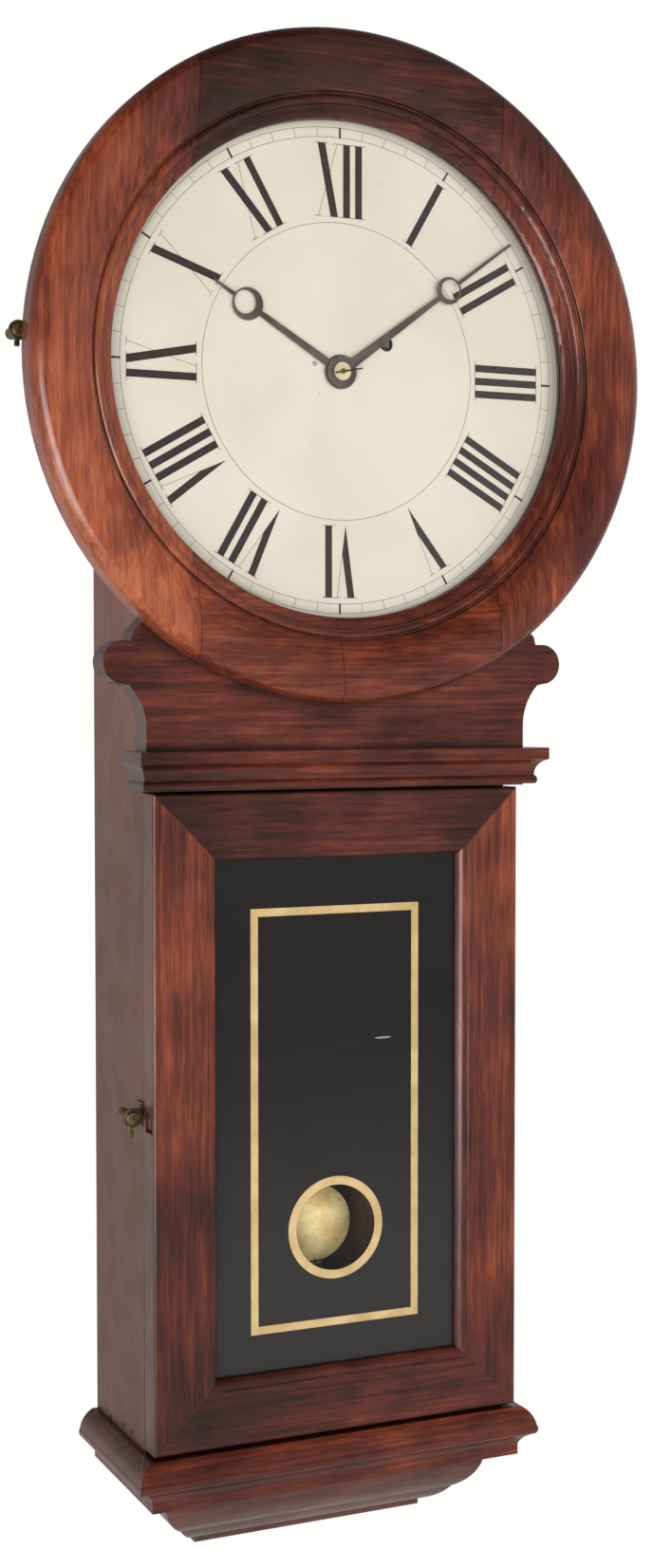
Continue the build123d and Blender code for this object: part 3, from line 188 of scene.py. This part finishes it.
def edge_wear(graph, radius):
    """Rounded normal near edges, and how much the surface is an edge."""
    rounded = graph.node("Bevel", {"Radius": radius}, samples=6).outputs["Normal"]
    plain = graph.node("NewGeometry").outputs["Normal"]
    alike = graph.node("VectorMath", {0: rounded, 1: plain},
                       operation="DOT_PRODUCT").outputs["Value"]
    return rounded, graph.rise(alike, 0.995, 0.86)


PORE_DARK = (0.012, 0.005, 0.004, 1.0)
# Near-black of dirt and painted shade in the wood's corners and crevices.
GRIME_AND_SHADE = (0.010, 0.005, 0.004, 1.0)


def varnished(graph, colour, pores, wear_colour, gloss=0.34, coat=0.50, wear=0.5):
    """Varnished wood from its colour and a pore field."""
    dark_pores = graph.rise(pores, 0.60, 0.70)
    colour = graph.mix(graph.math("MULTIPLY", dark_pores, 0.45), colour, PORE_DARK)
    rounded, edge = edge_wear(graph, 0.9 * MM)
    # Painted shade: the colour darkens where ambient occlusion finds nearby surfaces, in corners
    # and crevices, standing also for dirt there.
    corner = graph.node("AmbientOcclusion", {"Distance": 7 * MM}, samples=8).outputs["AO"]
    grime_and_shade = graph.rise(corner, 0.85, 0.35)
    colour = graph.mix(graph.math("MULTIPLY", grime_and_shade, 0.72), colour, GRIME_AND_SHADE)
    coords = object_coords(graph)
    patches = graph.rise(graph.noise(coords, 70.0, 3.0), 0.42, 0.62)
    worn = graph.math("MULTIPLY", graph.math("MULTIPLY", edge, patches), wear)
    colour = graph.mix(worn, colour, wear_colour)
    uneven = graph.noise(coords, 34.0, 3.0)
    roughness = graph.rise(uneven, 0.30, 0.75, gloss - 0.06, gloss + 0.12)
    bump = graph.node("Bump", {"Strength": 0.10, "Distance": 0.25 * MM, "Height": pores,
                               "Normal": rounded})
    dimples = graph.noise(coords, 95.0, 2.0)
    bump = graph.node("Bump", {"Strength": 0.10, "Distance": 0.6 * MM, "Height": dimples,
                               "Normal": bump.outputs["Normal"]})
    shader = graph.node("BsdfPrincipled", {
        "Base Color": colour, "Roughness": roughness, "Normal": bump.outputs["Normal"],
        "Coat Weight": coat, "Coat Roughness": 0.22, "Specular IOR Level": 0.20,
        "Coat Normal": bump.outputs["Normal"],
    })
    finish_graph(graph, shader.outputs[0])


# Heights between which foot_drop comes in.
DOOR_FOOT = (-270 * MM, -500 * MM)


def wood_material(name, axis, stops=MAHOGANY, lift=0.0, painted_side_sheen=False, foot_drop=0.0,
                  **finish):
    """Wood with its grain along axis.

    painted_side_sheen paints a grey sheen, in the side boards' colours, on the faces that look
    left or right, and foot_drop darkens the door's foot.
    """
    material, graph = new_graph(name)
    coords = object_coords(graph)
    tone, pores = wood_tone(graph, coords, axis, lift)
    height = graph.parts(coords)[2]
    tone = graph.math("SUBTRACT", tone, graph.rise(height, *DOOR_FOOT, 0.0, foot_drop))
    colour = graph.ramp(tone, stops)
    if painted_side_sheen:
        # Painted sheen: faces that look left or right turn greyer, in the side boards' colours.
        aside = graph.math("ABSOLUTE", graph.parts(graph.node("TexCoord").outputs["Normal"])[0])
        colour = graph.mix(graph.rise(aside, 0.85, 0.97), colour, graph.ramp(tone, CASE_SIDE))
    varnished(graph, colour, pores, (0.210, 0.066, 0.028, 1.0), **finish)
    return material


# Joints between the ring's segments: beside its middle on both sides, and at its foot.
SEGMENT_JOINT_X = 98 * MM
FOOT_JOINT_X = -7.5 * MM


def ring_material(name):
    """Round frame glued up from segments: upright grain at the sides, level at top and foot."""
    material, graph = new_graph(name)
    coords = object_coords(graph)
    x, _, z = graph.parts(coords)
    across = graph.math("ABSOLUTE", x)
    upright, upright_pores = wood_tone(graph, coords, "Z", 0.02)
    level, level_pores = wood_tone(graph, coords, "X", -0.02)
    is_side = graph.math("GREATER_THAN", across, SEGMENT_JOINT_X)
    tone = graph.between(is_side, level, upright)
    pores = graph.between(is_side, level_pores, upright_pores)
    # Painted light: the ring's left side is lighter, its top darker and its foot a little
    # lighter, as light falls from the left and below.
    tone = graph.total(
        tone,
        graph.rise(x, -60 * MM, -180 * MM, 0.0, 0.18),
        graph.rise(z, 40 * MM, 170 * MM, 0.0, -0.12),
        graph.rise(z, -60 * MM, -170 * MM, 0.0, 0.05),
    )
    side_joint = graph.math("ABSOLUTE", graph.math("SUBTRACT", across, SEGMENT_JOINT_X))
    foot_joint = graph.math("ABSOLUTE", graph.math("SUBTRACT", x, FOOT_JOINT_X))
    foot_joint = graph.math("ADD", foot_joint, graph.math("GREATER_THAN", z, 0.0))
    joint = graph.math("MINIMUM", side_joint, foot_joint)
    dark = graph.rise(joint, 0.55 * MM, 0.1 * MM, 0.0, 0.16)
    tone = graph.math("SUBTRACT", tone, dark)
    varnished(graph, graph.ramp(tone, MAHOGANY), pores, (0.230, 0.070, 0.028, 1.0),
              gloss=0.30, coat=0.6)
    return material


def spot(graph, coords, place, radius, squeeze=(1.0, 1.0, 1.0)):
    """One within radius millimetres of place, fading to nothing; squeeze draws it out."""
    centre = [value * MM * factor for value, factor in zip(place, squeeze)]
    away = graph.node("VectorMath", {0: graph.stretched(coords, squeeze), 1: centre},
                      operation="DISTANCE").outputs["Value"]
    return graph.rise(away, radius * 1.2 * MM, radius * 0.75 * MM)


# The left board's outer face, and the depth and height of each nail hole, in millimetres.
LEFT_FACE_X = -120.75
NAIL_HOLES = ((-26.8, -641.6), (-50.2, -639.1), (-66.0, -638.8))
NAIL_R = 2.0


def side_material(name):
    """Plain case side with upright grain and three nail holes near the foot."""
    material, graph = new_graph(name)
    coords = object_coords(graph)
    tone, pores = wood_tone(graph, coords, "Z", 0.03, 0.6)
    height = graph.parts(coords)[2]
    # Painted sheen: the board grows lighter towards the top.
    tone = graph.math("ADD", tone, graph.rise(height, -400 * MM, -120 * MM, 0.0, 0.17))
    for y, z in NAIL_HOLES:
        hole = spot(graph, coords, (LEFT_FACE_X, y, z), NAIL_R)
        tone = graph.math("SUBTRACT", tone, graph.math("MULTIPLY", hole, 0.85))
    varnished(graph, graph.ramp(tone, CASE_SIDE), pores, (0.130, 0.062, 0.042, 1.0),
              gloss=0.42, coat=0.30, wear=0.4)
    return material


# ---- metal, glass, paint ----
def metal_material(name, dark, light, roughness, spots=0.25, spot_colour=(0.05, 0.035, 0.02, 1.0),
                   scale=60.0, metallic=1.0):
    """Metal with uneven tarnish, darker corners and fine scratches."""
    material, graph = new_graph(name)
    coords = object_coords(graph)
    cloud = graph.noise(coords, scale, 5.0, 0.6, 0.5)
    colour = graph.mix(graph.rise(cloud, 0.35, 0.65), (*dark, 1.0), (*light, 1.0))
    flecks = graph.rise(graph.noise(coords, scale * 6, 3.0), 0.58, 0.70)
    colour = graph.mix(graph.math("MULTIPLY", flecks, spots), colour, spot_colour)
    corner = graph.node("AmbientOcclusion", {"Distance": 2 * MM}, samples=6).outputs["AO"]
    colour = graph.mix(graph.rise(corner, 0.8, 0.3, 0.0, 0.6), colour, spot_colour)
    rounded, edge = edge_wear(graph, 0.25 * MM)
    polished = tuple(min(1.0, part * 1.5) for part in light)
    colour = graph.mix(graph.math("MULTIPLY", edge, 0.45), colour, (*polished, 1.0))
    rough = graph.rise(cloud, 0.3, 0.7, roughness - 0.07, roughness + 0.12)
    bump = graph.node("Bump", {"Strength": 0.12, "Distance": 0.1 * MM,
                               "Height": graph.noise(coords, scale * 14, 2.0), "Normal": rounded})
    shader = graph.node("BsdfPrincipled", {
        "Base Color": colour, "Metallic": metallic, "Roughness": rough,
        "Normal": bump.outputs["Normal"],
    })
    finish_graph(graph, shader.outputs[0])
    return material


def glass_material(name, ior):
    """Thin window glass: clear, with a faint mirror on the faces that light enters by."""
    material, graph = new_graph(name)
    clear = graph.node("BsdfTransparent", {"Color": (0.985, 0.988, 0.985, 1.0)})
    flat = face_normal(graph)
    mirror = graph.node("BsdfGlossy", {"Roughness": 0.01, "Color": (1.0, 1.0, 1.0, 1.0),
                                       "Normal": flat})
    fresnel = graph.node("Fresnel", {"IOR": ior, "Normal": flat}).outputs[0]
    inside = graph.node("NewGeometry").outputs["Backfacing"]
    share = graph.math("MULTIPLY", fresnel, graph.math("SUBTRACT", 1.0, inside))
    mixed = graph.node("MixShader", {0: share, 1: clear.outputs[0], 2: mirror.outputs[0]})
    finish_graph(graph, mixed.outputs[0])
    return material


# The dial's front face, and each chip's place and radius, in millimetres.
DIAL_FACE_Y = -104.0
CHIPS = (((-16.4, 4.2), 1.7), ((-13.4, -13.8), 0.55), ((26, 114), 0.5))


def dial_material(name):
    """Cream dial paint with age clouds, specks, a browner rim and three chips."""
    material, graph = new_graph(name)
    coords = object_coords(graph)
    cloud = graph.noise(coords, 14.0, 4.0, 0.6, 0.3)
    colour = graph.mix(graph.rise(cloud, 0.35, 0.68), (0.630, 0.583, 0.492, 1.0),
                       (0.590, 0.541, 0.443, 1.0))
    freckles = graph.rise(graph.noise(coords, 420.0, 2.0), 0.745, 0.80, 0.0, 0.35)
    colour = graph.mix(freckles, colour, (0.45, 0.36, 0.25, 1.0))
    from_centre = graph.node("VectorMath", {0: coords, 1: (0.0, DIAL_FACE_Y * MM, 0.0)},
                             operation="DISTANCE").outputs["Value"]
    colour = graph.mix(graph.rise(from_centre, 138 * MM, 150 * MM, 0.0, 0.22), colour,
                       (0.50, 0.42, 0.30, 1.0))
    for (x, z), radius in CHIPS:
        chip = graph.math("MULTIPLY", spot(graph, coords, (x, DIAL_FACE_Y, z), radius), 0.8)
        colour = graph.mix(chip, colour, (0.23, 0.22, 0.20, 1.0))
    shader = graph.node("BsdfPrincipled", {
        "Base Color": colour, "Roughness": 0.55, "Specular IOR Level": 0.35,
        "Normal": face_normal(graph),
    })
    finish_graph(graph, shader.outputs[0])
    return material


def ink_material(name, colour, roughness=0.5):
    """Printer's ink, a little thin in places."""
    material, graph = new_graph(name)
    coords = object_coords(graph)
    thin = graph.rise(graph.noise(coords, 900.0, 3.0), 0.50, 0.72, 0.0, 0.35)
    faded = tuple(min(1.0, part * 3.2 + 0.02) for part in colour)
    shade = graph.mix(thin, (*colour, 1.0), (*faded, 1.0))
    shader = graph.node("BsdfPrincipled", {"Base Color": shade, "Roughness": roughness})
    finish_graph(graph, shader.outputs[0])
    return material


# Where the painted reflection on the tablet begins and is strongest, and the scratch's place in
# millimetres.
REFLECTION_FROM, REFLECTION_TO = -380 * MM, -560 * MM
SCRATCH = (32.0, -98.3, -404.0)


def paint_material(name, dark, light, roughness, metallic=0.0, foot_reflection=0.0):
    """Paint or leaf behind the tablet's glass, mottled, greyer at the foot with a painted
    reflection, with one scratch.
    """
    material, graph = new_graph(name)
    coords = object_coords(graph)
    cloud = graph.noise(coords, 45.0, 5.0, 0.6)
    colour = graph.mix(graph.rise(cloud, 0.35, 0.68), (*dark, 1.0), (*light, 1.0))
    # Painted reflection: the paint turns greyer towards the foot, standing in for the glass's
    # reflection there.
    lower_reflection = graph.rise(graph.parts(coords)[2], REFLECTION_FROM, REFLECTION_TO, 0.0, foot_reflection)
    colour = graph.mix(lower_reflection, colour, (0.30, 0.28, 0.27, 1.0))
    scratch = spot(graph, coords, SCRATCH, 0.55, (0.10, 0.3, 1.0))
    colour = graph.mix(graph.math("MULTIPLY", scratch, 0.6), colour, (0.50, 0.49, 0.46, 1.0))
    shader = graph.node("BsdfPrincipled", {
        "Base Color": colour, "Roughness": roughness, "Metallic": metallic,
        "Specular IOR Level": 0.1, "Normal": face_normal(graph),
    })
    finish_graph(graph, shader.outputs[0])
    return material


def dress(material, *names):
    """Gives the CAD nodes this material alone."""
    for name in names:
        data = NODES[name].data
        data.materials.clear()
        data.materials.append(material)


dress(ring_material("bezel_wood"), "bezel_ring")
dress(wood_material("ring_behind_wood", "Z", lift=-0.03), "head_ring")
dress(wood_material("bracket_wood", "X", lift=-0.07, painted_side_sheen=True), "scroll_bracket")
dress(wood_material("level_wood", "X", lift=-0.08), "door_rail_top", "door_rail_bottom")
dress(wood_material("moulding_wood", "X", lift=-0.01, painted_side_sheen=True, gloss=0.28), "cornice",
      "base_moulding")
dress(wood_material("drop_wood", "X", CASE_SIDE, lift=-0.05, gloss=0.34),
      "drop_block", "drop_plate")
dress(wood_material("left_stile_wood", "Z", lift=0.10, painted_side_sheen=True, foot_drop=0.16),
      "door_stile_left")
dress(wood_material("right_stile_wood", "Z", lift=0.08, painted_side_sheen=True, foot_drop=0.13),
      "door_stile_right")
dress(side_material("side_wood"), "side_left", "side_right")
dress(wood_material("top_wood", "X", CASE_SIDE, gloss=0.42, coat=0.3),
      "top_board", "bottom_board")
dress(wood_material("back_wood", "Z", PLAIN_PINE, gloss=0.62, coat=0.0, wear=0.1),
      "backboard", "seat_blocks", "glass_strips")
dress(wood_material("bead_wood", "X", MAHOGANY, gloss=0.40), "glass_bead")
dress(dial_material("dial_paint"), "dial")
dress(glass_material("window_glass", 1.55), "bezel_glass")
dress(glass_material("tablet_window_glass", 1.40), "tablet_glass")
dress(paint_material("tablet_black_paint", (0.0050, 0.0038, 0.0031), (0.0072, 0.0056, 0.0047),
                     0.5, foot_reflection=0.055), "tablet_paint")
dress(paint_material("gold_leaf_paint", (0.460, 0.310, 0.135), (0.600, 0.430, 0.215),
                     0.45, 0.05), "gold_lines")
dress(metal_material("browned_steel", (0.060, 0.044, 0.036), (0.110, 0.088, 0.075),
                     0.42, metallic=0.2), "hour_hand", "minute_hand")
dress(metal_material("collet_brass", (0.560, 0.470, 0.250), (0.680, 0.600, 0.360), 0.34, 0.15,
                     (0.20, 0.14, 0.07, 1.0), 120.0, 0.25), "hand_collet")
dress(metal_material("dark_steel", (0.050, 0.046, 0.043), (0.120, 0.110, 0.100), 0.40),
      "taper_pin", "wood_screws", "hanger_plate", "dial_screws")
dress(metal_material("bright_steel", (0.280, 0.275, 0.270), (0.480, 0.475, 0.465), 0.28),
      "winding_arbor", "suspension_spring", "mainspring", "click", "click_spring", "verge",
      "ratchet_wheel", "pendulum_rod")
dress(metal_material("movement_brass", (0.480, 0.330, 0.120), (0.640, 0.470, 0.200), 0.34),
      "front_plate", "back_plate", "plate_pillars", "barrel", "centre_wheel", "third_wheel",
      "escape_wheel", "cannon_pinion", "minute_wheel", "hour_wheel", "suspension_cock",
      "rating_nut")
dress(metal_material("bob_brass", (0.800, 0.550, 0.210), (1.000, 0.840, 0.420), 0.38, 0.35,
                     (0.30, 0.18, 0.07, 1.0), 42.0, 0.25), "bob")
dress(metal_material("old_brass", (0.090, 0.062, 0.034), (0.240, 0.175, 0.090), 0.40, 0.5,
                     (0.03, 0.02, 0.013, 1.0), 160.0),
      "hinge_leaves_fixed", "hinge_pins", "bezel_hinge_leaf", "door_hinge_leaves",
      "catch_brackets", "bezel_catch_knob", "door_catch_knob", "bezel_keeper")


def shrink(name, depth):
    """Draws a sheet's faces in by depth, so that they don't coincide with the paint on them."""
    modifier = NODES[name].modifiers.new("shrink", "DISPLACE")
    modifier.mid_level = 0.0
    modifier.strength = -depth


shrink("tablet_glass", 0.03 * MM)


# ---- printed dial ----
class Print:
    """Flat shapes printed on the dial, in millimetres from its centre."""

    def __init__(self):
        self.points = []
        self.faces = []

    def shape(self, corners):
        start = len(self.points)
        self.points += corners
        self.faces.append(tuple(range(start, start + len(corners))))

    def line(self, start, end, width):
        (x0, z0), (x1, z1) = start, end
        long = math.hypot(x1 - x0, z1 - z0)
        ax, az = -(z1 - z0) / long * width / 2, (x1 - x0) / long * width / 2
        self.shape([(x0 + ax, z0 + az), (x0 - ax, z0 - az),
                    (x1 - ax, z1 - az), (x1 + ax, z1 + az)])

    def circle(self, radius, width, steps=240):
        inner, outer = radius - width / 2, radius + width / 2
        for index in range(steps):
            a, b = (2 * math.pi * (index + k) / steps for k in (0, 1))
            self.shape([(reach * math.sin(turn), reach * math.cos(turn))
                        for reach, turn in ((inner, a), (outer, a), (outer, b), (inner, b))])

    def piece(self, name, material, lift):
        """Mesh standing lift millimetres off the dial, riding with the case."""
        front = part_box("dial")[0].y - lift * MM
        mesh = bpy.data.meshes.new(name)
        mesh.from_pydata([(x * MM, front, z * MM) for x, z in self.points], [], self.faces)
        mesh.materials.append(material)
        made = bpy.data.objects.new(name, mesh)
        bpy.context.scene.collection.objects.link(made)
        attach(made, "case")
        return made


# The print's sizes, in millimetres: circles, line widths, and the letters' height and widths.
TRACK_OUT, TRACK_IN, CHAPTER_R = 144.4, 138.7, 88.4
HAIR, SERIF, HOUR_TICK = 0.34, 0.45, 1.25
TOP, FOOT = 134.8, 91.8
BAR = 4.5
WIDTHS = {"I": BAR, "V": 11.4, "X": 13.3}
GAP, GAP_OF_TWO = 3.4, 5.0
BOLD_LIFT, HAIR_LIFT = 0.10, 0.06
NUMERALS = ["XII", "I", "II", "III", "IIII", "V", "VI", "VII", "VIII", "IX", "X", "XI"]


def on_dial(hour, aside, out):
    """Point of a numeral: aside is clockwise and out is the distance from the centre."""
    turn = math.radians(30 * hour)
    return (
        aside * math.cos(turn) + out * math.sin(turn),
        out * math.cos(turn) - aside * math.sin(turn),
    )


def stroke_i(thick, thin, place, left):
    right = left + BAR
    thick.shape([place(left, TOP), place(right, TOP), place(right, FOOT), place(left, FOOT)])
    for level in (TOP, FOOT):
        thin.line(place(left - 2.1, level), place(right + 2.1, level), SERIF)


def stroke_v(thick, thin, place, left):
    width, tip = WIDTHS["V"], 5.8
    share = (width - BAR) / width
    meet = (left + BAR + tip * share, TOP - (TOP - FOOT) * share)
    thick.shape([place(left, TOP), place(left + BAR, TOP), place(*meet), place(left + tip, FOOT)])
    thin.line(place(left + width, TOP), place(left + tip, FOOT), HAIR)
    thin.line(place(left - 2.0, TOP), place(left + BAR + 2.0, TOP), SERIF)
    thin.line(place(left + width - 2.2, TOP), place(left + width + 2.0, TOP), SERIF)


def stroke_x(thick, thin, place, left):
    width = WIDTHS["X"]
    thick.shape([place(left, TOP), place(left + 4.9, TOP), place(left + width, FOOT),
                 place(left + width - 4.8, FOOT)])
    thin.line(place(left + width - 0.5, TOP), place(left + 0.6, FOOT), HAIR)
    for start, end, level in ((-2.0, 6.6, TOP), (width - 3.0, width + 1.7, TOP),
                              (-1.6, 2.9, FOOT), (width - 7.0, width + 1.9, FOOT)):
        thin.line(place(left + start, level), place(left + end, level), SERIF)


STROKES = {"I": stroke_i, "V": stroke_v, "X": stroke_x}


def print_dial():
    thick, thin = Print(), Print()
    for hour, word in enumerate(NUMERALS):
        gap = GAP_OF_TWO if word == "II" else GAP
        whole = sum(WIDTHS[letter] for letter in word) + gap * (len(word) - 1)
        left = -whole / 2
        for letter in word:
            STROKES[letter](thick, thin, lambda aside, out, h=hour: on_dial(h, aside, out), left)
            left += WIDTHS[letter] + gap
    for minute in range(60):
        turn = minute / 5
        if minute % 5:
            thin.line(on_dial(turn, 0, TRACK_IN), on_dial(turn, 0, TRACK_OUT), HAIR)
        else:
            thick.line(on_dial(turn, 0, TRACK_IN - 0.4), on_dial(turn, 0, TRACK_OUT + 0.3),
                       HOUR_TICK)
    for radius in (TRACK_OUT, TRACK_IN, CHAPTER_R):
        thin.circle(radius, HAIR)
    black = ink_material("black_ink", (0.022, 0.014, 0.013))
    thick.piece("dial_numerals", black, BOLD_LIFT)
    pale = ink_material("thin_ink", (0.150, 0.130, 0.105))
    thin.piece("dial_hairlines", pale, HAIR_LIFT)


print_dial()


# ---- floor, light and camera, in metres ----
FLOOR_GLOW = 0.60
# Name, place, aim, size, watts, and whether it shows in reflections.
LIGHTS = (
    ("key", (-1.5, -1.9, -0.45), (0.0, -0.1, -0.25), (1.2, 1.2), 37.0, True),
    ("low_left", (-1.7, -0.9, -0.80), (0.0, -0.1, -0.10), (1.3, 0.4), 8.0, True),
    ("fill", (0.9, -2.6, 0.1), (0.0, -0.1, -0.2), (2.0, 2.0), 53.0, False),
)
CAMERA_PLACE = (-0.54563, -1.29015, -0.19096)
CAMERA_DOWN, CAMERA_RIGHT = math.radians(2.46), math.radians(24.59)
LENS_MM, SENSOR_MM = 49.66, 36.0


def add_floor():
    """Plain glowing floor that runs forward from just behind the wall."""
    material, graph = new_graph("floor_paint")
    shade = graph.noise(object_coords(graph), 1.5, 2.0)
    colour = graph.mix(shade, (0.90, 0.90, 0.895, 1.0), (0.93, 0.93, 0.925, 1.0))
    glow = graph.node("Emission", {"Color": colour, "Strength": FLOOR_GLOW})
    finish_graph(graph, glow.outputs[0])
    half, front, back, level = 6.0, -12.0, 0.3, -1.05
    mesh = bpy.data.meshes.new("floor")
    mesh.from_pydata([(-half, front, level), (half, front, level), (half, back, level),
                      (-half, back, level)], [], [(0, 1, 2, 3)])
    mesh.materials.append(material)
    floor = bpy.data.objects.new("floor", mesh)
    bpy.context.scene.collection.objects.link(floor)


def add_world():
    """White to the camera; for reflections bright behind and low, dim in front and above."""
    world = bpy.data.worlds.new("studio")
    bpy.context.scene.world = world
    world.use_nodes = True
    graph = Graph(world.node_tree)
    x, y, z = graph.parts(graph.node("TexCoord").outputs["Generated"])
    glare = graph.math("MULTIPLY", graph.rise(x, 0.34, 0.50), graph.rise(z, -0.04, 0.08))
    glow = graph.total(
        graph.rise(y, -0.10, 0.45, 0.0, 0.34),
        0.13,
        graph.rise(x, 0.60, 0.95, 0.0, 0.25),
        graph.math("MULTIPLY", glare, 0.55),
        graph.rise(x, -0.35, -0.9, 0.0, 0.30),
    )
    glow = graph.math("MULTIPLY", glow, graph.rise(z, -0.05, 0.60, 1.0, 0.35))
    camera = graph.node("LightPath").outputs["Is Camera Ray"]
    strength = graph.math("MAXIMUM", glow, camera)
    shader = graph.node("Background", {"Color": (1.0, 0.995, 0.985, 1.0), "Strength": strength})
    out = graph.node("OutputWorld")
    graph.tree.links.new(shader.outputs[0], out.inputs["Surface"])


def add_light(name, place, aim, size, power, mirrored):
    """Soft light from place towards aim, left out of reflections if not mirrored."""
    data = bpy.data.lights.new(name, "AREA")
    data.shape = "RECTANGLE"
    data.size, data.size_y = size
    data.energy = power
    light = bpy.data.objects.new(name, data)
    bpy.context.scene.collection.objects.link(light)
    light.location = place
    light.visible_glossy = mirrored
    light.rotation_euler = (Vector(aim) - Vector(place)).to_track_quat("-Z", "Y").to_euler()


def add_camera():
    data = bpy.data.cameras.new("camera")
    data.sensor_fit = "VERTICAL"
    data.sensor_height = SENSOR_MM
    data.sensor_width = SENSOR_MM
    data.lens = LENS_MM
    camera = bpy.data.objects.new("camera", data)
    bpy.context.scene.collection.objects.link(camera)
    camera.location = CAMERA_PLACE
    camera.rotation_euler = (math.radians(90) - CAMERA_DOWN, 0.0, -CAMERA_RIGHT)
    bpy.context.scene.camera = camera


add_floor()
add_world()
for light in LIGHTS:
    add_light(*light)
add_camera()
bpy.context.scene.view_settings.view_transform = "Standard"
